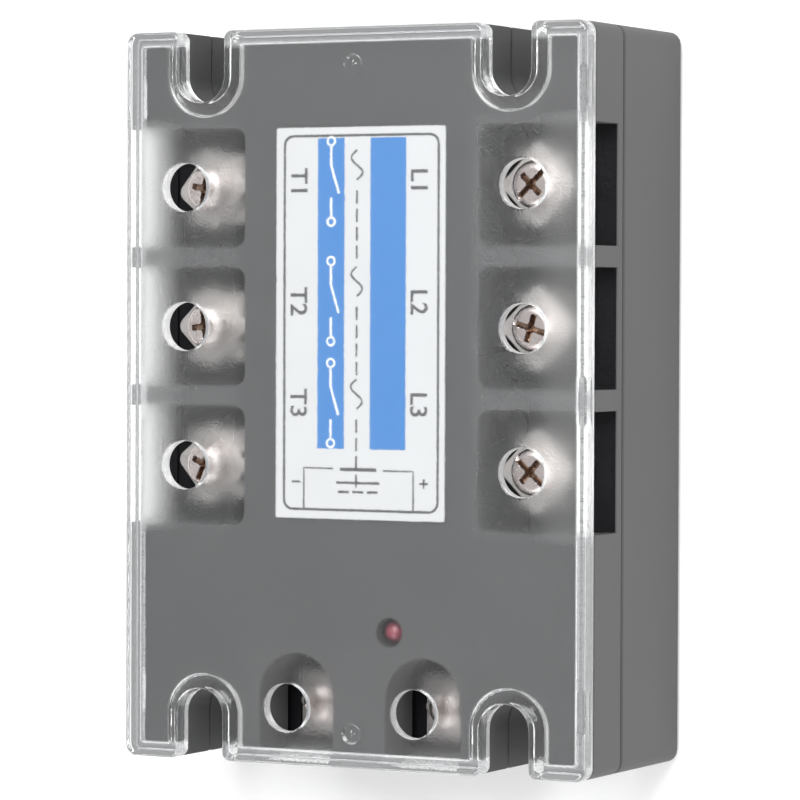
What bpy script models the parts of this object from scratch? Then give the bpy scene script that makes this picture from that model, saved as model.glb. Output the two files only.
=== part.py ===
"""Three-phase solid state relay with screw terminals under a clear lift-off cover.

The relay lies on its metal base: +X runs across it, +Y along it away from the
input terminals, +Z up through the terminal face. The origin is the centre of
the base's lower face. Sizes below are in millimetres; to_mesh() turns them
into metres.
"""

import math

import bmesh
import bpy
from mathutils import Matrix

MM = 0.001
GAP = 0.3

# Whole relay
WIDTH = 74.0
LENGTH = 105.0
HEIGHT = 32.0
CORNER_RADIUS = 1.8
PROUD_BASE = 0.2

# Levels of the two housings and of the cover
SEAM_Z = 20.0
DECK_Z = 28.1
DECK_THICK = 2.2
LIP_Z = 29.1
LIP_THICK = 0.7
PLATE_THICK = 1.9
RIM_THICK = 1.9
RIM_Z = DECK_Z + GAP
WALL = 2.2
SEAM_CHAMFER = 0.25

# Mounting slots, one in each corner
SLOT_X = 24.45
SLOT_Y = 46.0
COVER_SLOT_RADIUS = 3.8
HOUSING_SLOT_RADIUS = 5.0
BASE_SLOT_RADIUS = 2.6
TOWER_WALL = 2.0

# Base plate and the screws that hold it
BASE_THICK = 3.2
BASE_SCREW_X = 31.4
BASE_SCREW_Y = 20.0
BASE_SCREW_HEAD = 2.7
BASE_SCREW_SHANK = 1.1
BASE_SCREW_RECESS = 1.0
BASE_SCREW_TIP = 11.8
BASE_HOLE_RADIUS = 1.7
SINK_RADIUS = 3.4
BOSS_RADIUS = 3.6
BOSS_TOP = 15.3
PILOT_RADIUS = 1.4
PILOT_TOP = 12.6

# Power terminals: one line and one load terminal for each phase
POWER_X = 27.0
POWER_Y = (30.0, 10.0, -10.0)
POCKET_HALF = 8.5
POCKET_INNER_X = 18.8
POCKET_CORNER = 1.6
SILL_Z = 22.0
POWER_HOLE_RADIUS = 3.5

# Input terminals at the -Y end
INPUT_X = 10.2
INPUT_Y = -44.3
BAY_RADIUS = 6.0
BAY_ARC_Y = -42.7
BAY_WALL = 2.0
INPUT_HOLE_RADIUS = 3.45
INPUT_PAD_Z = 19.0

# Inner parts
POTTING_LOW = 15.7
POTTING_HIGH = SILL_Z - GAP
BOARD_HALF_WIDTH = 15.5
BOARD_ENDS = (-48.0, 44.0)
BOARD_LOW = 9.0
BOARD_THICK = 1.6
OPTO_HALF_WIDTH = 3.2
OPTO_HALF_LENGTH = 4.4
OPTO_HIGH = 3.3
CAPACITOR_HALF_WIDTH = 2.6
CAPACITOR_HALF_LENGTH = 6.2
CAPACITOR_HIGH = 4.2
BODY_BEVEL = 0.3
BODY_OFFSET = 9.5
RESISTOR_RADIUS = 1.1
RESISTOR_HALF = 3.4

# Power modules: a ceramic tile with a chip and a pad on each side
TILE_HALF_LENGTH = 22.5
TILE_HALF_WIDTH = 7.6
TILE_THICK = 1.0
CHIP_ENDS = (3.0, 11.5)
CHIP_HALF_WIDTH = 4.4
CHIP_TOP = 2.2
PAD_ENDS = (13.0, 21.8)
PAD_HALF_WIDTH = 6.0
PAD_TOP = 2.6

# Status light
LED_X = 4.8
LED_Y = -33.2
LED_HOLE_RADIUS = 2.05
LENS_RADIUS = 1.5
LENS_CENTRE_Z = 25.8
FLANGE_RADIUS = 1.9
FLANGE_TOP = 23.1
FLANGE_LOW = 22.3
LEAD_OFFSET = 1.27
LEAD_HALF = 0.25

# Power terminal: a strip from the module's pad up to the pocket's floor
TERMINAL_INNER = 22.2
TERMINAL_OUTER = 31.0
TERMINAL_HALF = 5.0
TERMINAL_THICK = 1.0
TERMINAL_FOOT_X = 14.0
TERMINAL_FOOT_Z = BASE_THICK + GAP + PAD_TOP + GAP

# Input terminal: a strip from the board up to the bay
INPUT_TERMINAL_END = -49.0
INPUT_TERMINAL_LEG = -39.8
INPUT_TERMINAL_HALF = 4.4
INPUT_TERMINAL_THICK = 0.8

# (clamp side, clamp thickness, clamp hole, head radius, head height, shank radius,
#  shank length, nut across flats, nut thickness)
POWER_SCREW = (9.2, 1.0, 2.3, 3.4, 2.8, 2.0, 10.0, 7.0, 3.1)
INPUT_SCREW = (6.4, 0.7, 1.75, 2.8, 1.8, 1.5, 8.0, 5.5, 2.4)
POWER_TURNS = {"l1": 45, "l2": -17, "l3": -42, "t1": 80, "t2": 97, "t3": 66}
INPUT_TURNS = {"minus": 20, "plus": 65}
CLAMP_TURNS = {"t1": 6, "t3": -6}

# The line side's screws stand undone by four turns, the load side's are done up
LINE_LIFT = 2.8

# Rating label
LABEL_X = 0.2
LABEL_Y = 10.55
LABEL_WIDTH = 27.1
LABEL_LENGTH = 55.7
LABEL_THICK = 0.2

PHASES = ("1", "2", "3")


# ---------------------------------------------------------------- outlines

def arc(x, y, radius, start, end, steps):
    """Points along a circular arc, angles in degrees, both ends included."""
    angles = [math.radians(start + (end - start) * i / steps) for i in range(steps + 1)]
    return [(x + radius * math.cos(a), y + radius * math.sin(a)) for a in angles]


def rounded_rectangle(half_x, half_y, radius, steps=4):
    points = []
    for side_x, side_y, start in ((1, 1, 0), (-1, 1, 90), (-1, -1, 180), (1, -1, 270)):
        middle_x = side_x * (half_x - radius)
        middle_y = side_y * (half_y - radius)
        points += arc(middle_x, middle_y, radius, start, start + 90, steps)
    return points


def slot_outline(x, y, radius, end_y, steps=12):
    """A slot that is round about (x, y) and runs straight out to end_y."""
    if end_y > y:
        return arc(x, y, radius, 180, 360, steps) + [(x + radius, end_y), (x - radius, end_y)]
    return arc(x, y, radius, 0, 180, steps) + [(x - radius, end_y), (x + radius, end_y)]


def regular_polygon(radius, sides, turn):
    angles = [math.radians(turn + 360.0 * i / sides) for i in range(sides)]
    return [(radius * math.cos(a), radius * math.sin(a)) for a in angles]


# ---------------------------------------------------------------- solids

def add_box(bm, low, high):
    size = [b - a for a, b in zip(low, high)]
    middle = [(a + b) / 2 for a, b in zip(low, high)]
    bmesh.ops.create_cube(bm, size=1.0, matrix=Matrix.LocRotScale(middle, None, size))


def add_cylinder(bm, x, y, radius, low, high, steps, top_radius=None):
    bmesh.ops.create_cone(
        bm,
        cap_ends=True,
        segments=steps,
        radius1=radius,
        radius2=radius if top_radius is None else top_radius,
        depth=high - low,
        matrix=Matrix.Translation((x, y, (low + high) / 2)),
    )


def add_prism(bm, outline, low, high, top_bevel=0.0, bottom_bevel=0.0, segments=1):
    """Raise an outline from low to high, with its top or bottom rim bevelled."""
    base = bm.faces.new([bm.verts.new((x, y, low)) for x, y in outline])
    raised = bmesh.ops.extrude_face_region(bm, geom=[base])["geom"]
    top_verts = [v for v in raised if isinstance(v, bmesh.types.BMVert)]
    bmesh.ops.translate(bm, vec=(0, 0, high - low), verts=top_verts)
    top = [f for f in raised if isinstance(f, bmesh.types.BMFace)][0]
    for face, width in ((base, bottom_bevel), (top, top_bevel)):
        if width > 0:
            bmesh.ops.bevel(
                bm,
                geom=list(face.edges),
                offset=width,
                offset_type="OFFSET",
                segments=segments,
                profile=0.5,
                affect="EDGES",
            )


def to_mesh(name, bm, smooth=False):
    bmesh.ops.recalc_face_normals(bm, faces=bm.faces)
    bmesh.ops.scale(bm, vec=(MM, MM, MM), verts=bm.verts)
    mesh = bpy.data.meshes.new(name)
    bm.to_mesh(mesh)
    bm.free()
    if smooth:
        mesh.shade_smooth()
        mesh.set_sharp_from_angle(angle=math.radians(35))
    return mesh


# ---------------------------------------------------------------- objects

def clear_scene():
    for obj in list(bpy.data.objects):
        bpy.data.objects.remove(obj, do_unlink=True)


def new_collection(name):
    collection = bpy.data.collections.new(name)
    bpy.context.scene.collection.children.link(collection)
    return collection


def new_material(name, colour, roughness, metallic=0.0, alpha=1.0, transmission=0.0):
    material = bpy.data.materials.new(name)
    material.use_nodes = True
    shader = material.node_tree.nodes["Principled BSDF"]
    shader.inputs["Base Color"].default_value = (*colour, 1.0)
    shader.inputs["Roughness"].default_value = roughness
    shader.inputs["Metallic"].default_value = metallic
    shader.inputs["Alpha"].default_value = alpha
    shader.inputs["Transmission Weight"].default_value = transmission
    material.diffuse_color = (*colour, alpha)
    return material


def add_piece(name, mesh, material, location=(0.0, 0.0, 0.0), turn=0.0):
    """Place one mesh as a named piece; location in millimetres, turn about Z in degrees."""
    piece = bpy.data.objects.new(name, mesh)
    if not mesh.materials:
        mesh.materials.append(material)
    piece.location = [c * MM for c in location]
    piece.rotation_euler = (0.0, 0.0, math.radians(turn))
    PIECES.objects.link(piece)
    return piece


def add_cutter(name, bm):
    cutter = bpy.data.objects.new(name, to_mesh(name, bm))
    cutter.hide_render = True
    cutter.display_type = "WIRE"
    CUTTERS.objects.link(cutter)
    return cutter


def combine(piece, operation, tool):
    modifier = piece.modifiers.new(tool.name, "BOOLEAN")
    modifier.operation = operation
    modifier.object = tool
    modifier.solver = "EXACT"


def baked(piece):
    """The piece's mesh with its modifiers applied, for copies that share it."""
    bpy.context.view_layer.update()
    graph = bpy.context.evaluated_depsgraph_get()
    mesh = bpy.data.meshes.new_from_object(piece.evaluated_get(graph))
    mesh.shade_smooth()
    mesh.set_sharp_from_angle(angle=math.radians(35))
    bpy.data.objects.remove(piece, do_unlink=True)
    return mesh


def turned(name, profile, material, steps=24):
    """Turn a profile of (radius, height) points, outer side running downwards."""
    bm = bmesh.new()
    verts = [bm.verts.new((radius, 0.0, height)) for radius, height in profile]
    for first, second in zip(verts, verts[1:]):
        bm.edges.new((first, second))
    bmesh.ops.scale(bm, vec=(MM, MM, MM), verts=bm.verts)
    mesh = bpy.data.meshes.new(name)
    bm.to_mesh(mesh)
    bm.free()
    piece = add_piece(name, mesh, material)
    screw = piece.modifiers.new("Turned", "SCREW")
    screw.axis = "Z"
    screw.steps = steps
    screw.render_steps = steps
    screw.use_merge_vertices = True
    screw.merge_threshold = 0.00001
    return piece


def corners():
    """The four corner slots as (x, y, sign of y)."""
    return [(sx * SLOT_X, sy * SLOT_Y, sy) for sx in (-1, 1) for sy in (-1, 1)]


def slot_shapes(name, radius, reach, low, high):
    """The four corner slots, or the towers round them, as one cutter."""
    bm = bmesh.new()
    for x, y, side in corners():
        add_prism(bm, slot_outline(x, y, radius, side * reach), low, high)
    return add_cutter(name, bm)


def power_places():
    """The six power terminals as (label, x, y): line side at +X, load side at -X."""
    return [
        (prefix + phase, side * POWER_X, y)
        for prefix, side in (("l", 1), ("t", -1))
        for phase, y in zip(PHASES, POWER_Y)
    ]


def input_places():
    return [("minus", -INPUT_X, INPUT_Y), ("plus", INPUT_X, INPUT_Y)]


# ---------------------------------------------------------------- casings

def make_base_plate():
    inset = WALL + GAP
    bm = bmesh.new()
    outline = rounded_rectangle(WIDTH / 2 - inset - 0.1, LENGTH / 2 - inset - 0.1, 1.0, 3)
    add_prism(bm, outline, 0.0, BASE_THICK, bottom_bevel=0.3)
    plate = add_piece("base_plate", to_mesh("base_plate", bm), ALUMINIUM)
    bm = bmesh.new()
    tab_half = HOUSING_SLOT_RADIUS - GAP
    for x, y, side in corners():
        ends = sorted((side * (SLOT_Y + 1.0), side * (LENGTH / 2 - GAP)))
        add_box(bm, (x - tab_half, ends[0], 0.02), (x + tab_half, ends[1], BASE_THICK - 0.02))
    combine(plate, "UNION", add_cutter("base_tabs", bm))
    combine(plate, "DIFFERENCE", slot_shapes("base_slots", BASE_SLOT_RADIUS, 60.0, -1.0, 5.0))
    holes = bmesh.new()
    sinks = bmesh.new()
    for x, y in base_screw_places():
        add_cylinder(holes, x, y, BASE_HOLE_RADIUS, -1.0, 5.0, 12)
        add_cylinder(sinks, x, y, SINK_RADIUS, -0.4, 1.7, 16, top_radius=1.3)
    combine(plate, "DIFFERENCE", add_cutter("base_screw_holes", holes))
    combine(plate, "DIFFERENCE", add_cutter("base_screw_sinks", sinks))


def base_screw_places():
    return [(sx * BASE_SCREW_X, sy * BASE_SCREW_Y) for sx in (-1, 1) for sy in (-1, 1)]


def make_base_screws():
    flat = 0.1
    profile = [
        (0.0, BASE_SCREW_TIP),
        (BASE_SCREW_SHANK, BASE_SCREW_TIP - 0.8),
        (BASE_SCREW_SHANK, 1.9),
        (BASE_SCREW_HEAD, flat + 0.15),
        (BASE_SCREW_HEAD, flat),
        (BASE_SCREW_RECESS, flat),
        (BASE_SCREW_RECESS - 0.1, flat + 0.25),
        (0.0, flat + 0.25),
    ]
    screw = turned("base_screw", profile, STEEL, 12)
    mesh = baked(screw)
    for number, (x, y) in enumerate(base_screw_places(), 1):
        add_piece(f"base_screw_{number}", mesh, STEEL, (x, y, 0.0))


def make_lower_housing():
    top = SEAM_Z - GAP / 2
    bm = bmesh.new()
    outline = rounded_rectangle(WIDTH / 2, LENGTH / 2, CORNER_RADIUS)
    add_prism(bm, outline, PROUD_BASE, top, top_bevel=SEAM_CHAMFER, bottom_bevel=0.4)
    housing = add_piece("lower_housing", to_mesh("lower_housing", bm), GREY_PLASTIC)

    bm = bmesh.new()
    inner = rounded_rectangle(WIDTH / 2 - WALL, LENGTH / 2 - WALL, 1.2, 3)
    add_prism(bm, inner, -1.0, top + 1.0)
    combine(housing, "DIFFERENCE", add_cutter("lower_inside", bm))

    tower_radius = HOUSING_SLOT_RADIUS + TOWER_WALL
    floor = BASE_THICK + GAP
    towers = slot_shapes("lower_towers", tower_radius, LENGTH / 2 - 1.0, floor, top - 0.05)
    combine(housing, "UNION", towers)

    bosses = bmesh.new()
    pilots = bmesh.new()
    for x, y in base_screw_places():
        add_cylinder(bosses, x, y, BOSS_RADIUS, floor, BOSS_TOP, 16)
        add_cylinder(pilots, x, y, PILOT_RADIUS, floor - 1.0, PILOT_TOP, 12)
    combine(housing, "UNION", add_cutter("lower_bosses", bosses))
    combine(housing, "DIFFERENCE", add_cutter("lower_pilots", pilots))
    slots = slot_shapes("lower_slots", HOUSING_SLOT_RADIUS, 60.0, -2.0, top + 2.0)
    combine(housing, "DIFFERENCE", slots)


def make_upper_housing():
    low = SEAM_Z + GAP / 2
    bm = bmesh.new()
    outline = rounded_rectangle(WIDTH / 2, LENGTH / 2, CORNER_RADIUS)
    add_prism(bm, outline, low, LIP_Z, bottom_bevel=SEAM_CHAMFER)
    housing = add_piece("upper_housing", to_mesh("upper_housing", bm), GREY_PLASTIC)

    bm = bmesh.new()
    lip = rounded_rectangle(WIDTH / 2 - LIP_THICK, LENGTH / 2 - LIP_THICK, CORNER_RADIUS - LIP_THICK)
    add_prism(bm, lip, DECK_Z, LIP_Z + 1.0)
    combine(housing, "DIFFERENCE", add_cutter("deck_recess", bm))

    bm = bmesh.new()
    inner = rounded_rectangle(WIDTH / 2 - WALL + 0.2, LENGTH / 2 - WALL + 0.2, 1.2, 3)
    add_prism(bm, inner, low - 1.0, DECK_Z - DECK_THICK)
    combine(housing, "DIFFERENCE", add_cutter("upper_inside", bm))

    inside_top = DECK_Z - DECK_THICK + 0.6
    bm = bmesh.new()
    for side in (-1, 1):
        ends = sorted((side * (POCKET_INNER_X - 2.0), side * (WIDTH / 2 - 1.5)))
        lowest = min(POWER_Y) - POCKET_HALF - 2.0
        highest = max(POWER_Y) + POCKET_HALF + 2.0
        add_box(bm, (ends[0], lowest, SILL_Z + 0.05), (ends[1], highest, inside_top))
    combine(housing, "UNION", add_cutter("pocket_walls", bm))

    tower_radius = HOUSING_SLOT_RADIUS + TOWER_WALL
    towers = slot_shapes("upper_towers", tower_radius, LENGTH / 2 - 1.0, low + 0.05, inside_top)
    combine(housing, "UNION", towers)

    bm = bmesh.new()
    half = INPUT_X + BAY_RADIUS + BAY_WALL
    back = BAY_ARC_Y + BAY_RADIUS + BAY_WALL
    add_box(bm, (-half, -LENGTH / 2 + 1.0, low + 0.1), (half, back, inside_top - 0.1))
    combine(housing, "UNION", add_cutter("bay_walls", bm))

    bm = bmesh.new()
    for _, x, y in power_places():
        pocket = pocket_outline(1 if x > 0 else -1, y)
        add_prism(bm, pocket, SILL_Z, LIP_Z + 2.0)
    combine(housing, "DIFFERENCE", add_cutter("power_pockets", bm))

    slots = slot_shapes("upper_slots", HOUSING_SLOT_RADIUS, 60.0, low - 2.0, LIP_Z + 2.0)
    combine(housing, "DIFFERENCE", slots)

    bm = bmesh.new()
    for _, x, _ in input_places():
        outline = slot_outline(x, BAY_ARC_Y, BAY_RADIUS, -60.0, 14)
        add_prism(bm, outline, low - 2.0, LIP_Z + 2.0)
    combine(housing, "DIFFERENCE", add_cutter("input_bays", bm))

    bm = bmesh.new()
    add_cylinder(bm, LED_X, LED_Y, LED_HOLE_RADIUS, low - 2.0, LIP_Z + 1.0, 24)
    combine(housing, "DIFFERENCE", add_cutter("led_hole", bm))


def pocket_outline(side, y):
    """A power pocket: two round inner corners, open at the long side of the housing."""
    inner = POCKET_INNER_X + POCKET_CORNER
    outer = WIDTH / 2 + 3.0
    points = [(outer, y - POCKET_HALF), (outer, y + POCKET_HALF)]
    points += arc(inner, y + POCKET_HALF - POCKET_CORNER, POCKET_CORNER, 90, 180, 4)
    points += arc(inner, y - POCKET_HALF + POCKET_CORNER, POCKET_CORNER, 180, 270, 4)
    if side > 0:
        return points
    return [(-px, py) for px, py in points[::-1]]


def make_clear_cover():
    under = HEIGHT - PLATE_THICK
    bm = bmesh.new()
    outline = rounded_rectangle(WIDTH / 2, LENGTH / 2, CORNER_RADIUS)
    add_prism(bm, outline, RIM_Z, HEIGHT, top_bevel=0.7, segments=2)
    cover = add_piece("clear_cover", to_mesh("clear_cover", bm), CLEAR_PLASTIC)

    bm = bmesh.new()
    inner = rounded_rectangle(WIDTH / 2 - RIM_THICK, LENGTH / 2 - RIM_THICK, 0.6, 3)
    add_prism(bm, inner, RIM_Z - 1.0, under)
    hollow = add_cutter("cover_hollow", bm)
    radius = COVER_SLOT_RADIUS + RIM_THICK
    kept = slot_shapes("cover_slot_rims", radius, LENGTH / 2 + 1.0, RIM_Z - 2.0, HEIGHT + 1.0)
    combine(hollow, "DIFFERENCE", kept)
    combine(cover, "DIFFERENCE", hollow)

    step = LIP_THICK + GAP
    bm = bmesh.new()
    around = rounded_rectangle(WIDTH / 2 + 2.0, LENGTH / 2 + 2.0, 2.0)
    add_prism(bm, around, RIM_Z - 1.0, LIP_Z + GAP)
    rabbet = add_cutter("cover_rabbet", bm)
    bm = bmesh.new()
    tongue = rounded_rectangle(WIDTH / 2 - step, LENGTH / 2 - step, CORNER_RADIUS - step)
    add_prism(bm, tongue, RIM_Z - 2.0, LIP_Z + 1.0)
    combine(rabbet, "DIFFERENCE", add_cutter("cover_tongue", bm))
    combine(cover, "DIFFERENCE", rabbet)

    slots = slot_shapes("cover_slots", COVER_SLOT_RADIUS, 60.0, RIM_Z - 2.0, HEIGHT + 2.0)
    combine(cover, "DIFFERENCE", slots)

    bm = bmesh.new()
    for _, x, y in power_places():
        add_cylinder(bm, x, y, POWER_HOLE_RADIUS, under - 1.0, HEIGHT + 1.0, 24)
    for _, x, y in input_places():
        add_cylinder(bm, x, y, INPUT_HOLE_RADIUS, under - 1.0, HEIGHT + 1.0, 24)
    combine(cover, "DIFFERENCE", add_cutter("driver_holes", bm))


def make_label():
    bm = bmesh.new()
    low = DECK_Z + 0.2
    add_box(
        bm,
        (LABEL_X - LABEL_WIDTH / 2, LABEL_Y - LABEL_LENGTH / 2, low),
        (LABEL_X + LABEL_WIDTH / 2, LABEL_Y + LABEL_LENGTH / 2, low + LABEL_THICK),
    )
    add_piece("rating_label", to_mesh("rating_label", bm), LABEL_PAPER)


# ---------------------------------------------------------------- inside

def make_potting():
    inset = WALL + GAP + 0.1
    bm = bmesh.new()
    outline = rounded_rectangle(WIDTH / 2 - inset, LENGTH / 2 - inset, 1.0, 3)
    add_prism(bm, outline, POTTING_LOW, POTTING_HIGH)
    potting = add_piece("potting_compound", to_mesh("potting_compound", bm), BLACK_EPOXY)

    radius = HOUSING_SLOT_RADIUS + TOWER_WALL + GAP
    corners_cut = slot_shapes("potting_corners", radius, 60.0, POTTING_LOW - 1, POTTING_HIGH + 1)
    combine(potting, "DIFFERENCE", corners_cut)

    bm = bmesh.new()
    half = INPUT_X + BAY_RADIUS + BAY_WALL + GAP
    back = BAY_ARC_Y + BAY_RADIUS + BAY_WALL + GAP
    add_box(bm, (-half, -60.0, INPUT_PAD_Z - GAP), (half, back, POTTING_HIGH + 1.0))
    combine(potting, "DIFFERENCE", add_cutter("potting_step", bm))

    bm = bmesh.new()
    for _, x, y in power_places():
        side = 1 if x > 0 else -1
        ends = sorted((side * (TERMINAL_INNER - GAP), side * (TERMINAL_OUTER + GAP)))
        half = TERMINAL_HALF + GAP
        add_box(bm, (ends[0], y - half, POTTING_LOW - 1), (ends[1], y + half, POTTING_HIGH + 1))
    for _, x, y in input_places():
        half = INPUT_TERMINAL_HALF + GAP
        low = (x - half, INPUT_TERMINAL_END - GAP, POTTING_LOW - 1)
        add_box(bm, low, (x + half, INPUT_TERMINAL_LEG + GAP, POTTING_HIGH + 1))
    combine(potting, "DIFFERENCE", add_cutter("potting_wells", bm))

    bm = bmesh.new()
    low = (LED_X - 2.2, LED_Y - 1.8, POTTING_LOW - 1)
    add_box(bm, low, (LED_X + 2.2, LED_Y + 1.0, POTTING_HIGH + 1))
    combine(potting, "DIFFERENCE", add_cutter("potting_led_well", bm))


def make_board():
    bm = bmesh.new()
    low = (-BOARD_HALF_WIDTH, BOARD_ENDS[0], BOARD_LOW)
    add_box(bm, low, (BOARD_HALF_WIDTH, BOARD_ENDS[1], BOARD_LOW + BOARD_THICK))
    add_piece("control_board", to_mesh("control_board", bm), BOARD_GREEN)


def make_board_parts():
    top = BOARD_LOW + BOARD_THICK + GAP
    bm = bmesh.new()
    outline = rounded_rectangle(OPTO_HALF_WIDTH, OPTO_HALF_LENGTH, 0.4, 2)
    add_prism(bm, outline, 0.0, OPTO_HIGH, top_bevel=BODY_BEVEL)
    opto_mesh = to_mesh("optocoupler", bm)
    bm = bmesh.new()
    outline = rounded_rectangle(CAPACITOR_HALF_WIDTH, CAPACITOR_HALF_LENGTH, 0.5, 2)
    add_prism(bm, outline, 0.0, CAPACITOR_HIGH, top_bevel=BODY_BEVEL)
    capacitor_mesh = to_mesh("snubber_capacitor", bm)
    bm = bmesh.new()
    add_cylinder(bm, 0, 0, RESISTOR_RADIUS, -RESISTOR_HALF, RESISTOR_HALF, 12)
    turn = Matrix.Rotation(math.pi / 2, 3, "X")
    bmesh.ops.rotate(bm, cent=(0, 0, 0), matrix=turn, verts=bm.verts)
    resistor_mesh = to_mesh("gate_resistor", bm, smooth=True)
    for phase, y in zip(PHASES, POWER_Y):
        place = (-BODY_OFFSET, y, top)
        add_piece(f"optocoupler_{phase}", opto_mesh, WHITE_PLASTIC, place)
        place = (BODY_OFFSET, y, top)
        add_piece(f"snubber_capacitor_{phase}", capacitor_mesh, YELLOW_PLASTIC, place)
        place = (0.0, y, top + RESISTOR_RADIUS)
        add_piece(f"gate_resistor_{phase}", resistor_mesh, RESISTOR_BLUE, place)


def make_power_modules():
    bm = bmesh.new()
    low = (-TILE_HALF_LENGTH, -TILE_HALF_WIDTH, 0.0)
    add_box(bm, low, (TILE_HALF_LENGTH, TILE_HALF_WIDTH, TILE_THICK))
    module = add_piece("power_module", to_mesh("power_module", bm), CERAMIC)
    bm = bmesh.new()
    sunk = TILE_THICK - 0.2
    for side in (-1, 1):
        chip = sorted(side * end for end in CHIP_ENDS)
        add_box(bm, (chip[0], -CHIP_HALF_WIDTH, sunk), (chip[1], CHIP_HALF_WIDTH, CHIP_TOP))
        pad = sorted(side * end for end in PAD_ENDS)
        add_box(bm, (pad[0], -PAD_HALF_WIDTH, sunk), (pad[1], PAD_HALF_WIDTH, PAD_TOP))
    chips = add_cutter("module_chips", bm)
    combine(module, "UNION", chips)
    mesh = baked(module)
    for phase, y in zip(PHASES, POWER_Y):
        add_piece(f"power_module_{phase}", mesh, CERAMIC, (0.0, y, BASE_THICK + GAP))


def make_led():
    profile = []
    for angle in (0, 30, 60, 90):
        a = math.radians(angle)
        profile.append((LENS_RADIUS * math.sin(a), LENS_CENTRE_Z + LENS_RADIUS * math.cos(a)))
    profile += [
        (LENS_RADIUS, FLANGE_TOP),
        (FLANGE_RADIUS, FLANGE_TOP),
        (FLANGE_RADIUS, FLANGE_LOW),
        (0.0, FLANGE_LOW),
    ]
    led = turned("status_led", profile, RED_LENS, 16)
    led.location = (LED_X * MM, LED_Y * MM, 0.0)
    bm = bmesh.new()
    low = BOARD_LOW + BOARD_THICK + GAP
    for side in (-1, 1):
        x = LED_X + side * LEAD_OFFSET
        near = (x - LEAD_HALF, LED_Y - LEAD_HALF, low)
        add_box(bm, near, (x + LEAD_HALF, LED_Y + LEAD_HALF, FLANGE_LOW + 0.3))
    combine(led, "UNION", add_cutter("led_legs", bm))


# ---------------------------------------------------------------- terminals


def strip_mesh(name, outline, half, along_y):
    """A bent strip: its side outline in (run, height), half its width to each side."""
    bm = bmesh.new()
    add_prism(bm, outline, -half, half)
    turn = Matrix.Rotation(math.pi / 2, 3, "X")
    bmesh.ops.rotate(bm, cent=(0, 0, 0), matrix=turn, verts=bm.verts)
    if not along_y:
        turn = Matrix.Rotation(math.pi / 2, 3, "Z")
        bmesh.ops.rotate(bm, cent=(0, 0, 0), matrix=turn, verts=bm.verts)
    return to_mesh(name, bm)


def make_power_terminals():
    top = SILL_Z
    under = top - TERMINAL_THICK
    foot_top = TERMINAL_FOOT_Z + TERMINAL_THICK
    outline = [
        (TERMINAL_OUTER, under),
        (TERMINAL_OUTER, top),
        (TERMINAL_INNER, top),
        (TERMINAL_INNER, foot_top),
        (TERMINAL_FOOT_X, foot_top),
        (TERMINAL_FOOT_X, TERMINAL_FOOT_Z),
        (TERMINAL_INNER + TERMINAL_THICK, TERMINAL_FOOT_Z),
        (TERMINAL_INNER + TERMINAL_THICK, under),
    ]
    bm = bmesh.new()
    add_cylinder(bm, POWER_X, 0.0, POWER_SCREW[2], under - 1.0, top + 1.0, 18)
    hole = add_cutter("terminal_hole", bm)
    mesh = strip_mesh("power_terminal", outline, TERMINAL_HALF, True)
    strip = add_piece("power_terminal", mesh, NICKEL)
    combine(strip, "DIFFERENCE", hole)
    mesh = baked(strip)
    for label, x, y in power_places():
        turn = 0.0 if x > 0 else 180.0
        add_piece(f"power_terminal_{label}", mesh, NICKEL, (0.0, y, 0.0), turn)


def make_input_terminals():
    top = INPUT_PAD_Z
    under = top - INPUT_TERMINAL_THICK
    foot = BOARD_LOW + BOARD_THICK + GAP
    leg = INPUT_TERMINAL_LEG
    outline = [
        (INPUT_TERMINAL_END, under),
        (leg - INPUT_TERMINAL_THICK, under),
        (leg - INPUT_TERMINAL_THICK, foot),
        (leg, foot),
        (leg, top),
        (INPUT_TERMINAL_END, top),
    ]
    bm = bmesh.new()
    add_cylinder(bm, 0.0, INPUT_Y, INPUT_SCREW[2], under - 1.0, top + 1.0, 20)
    hole = add_cutter("input_terminal_hole", bm)
    mesh = strip_mesh("input_terminal", outline, INPUT_TERMINAL_HALF, False)
    strip = add_piece("input_terminal", mesh, NICKEL)
    combine(strip, "DIFFERENCE", hole)
    mesh = baked(strip)
    for label, x, y in input_places():
        add_piece(f"input_terminal_{label}", mesh, NICKEL, (x, 0.0, 0.0))


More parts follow.
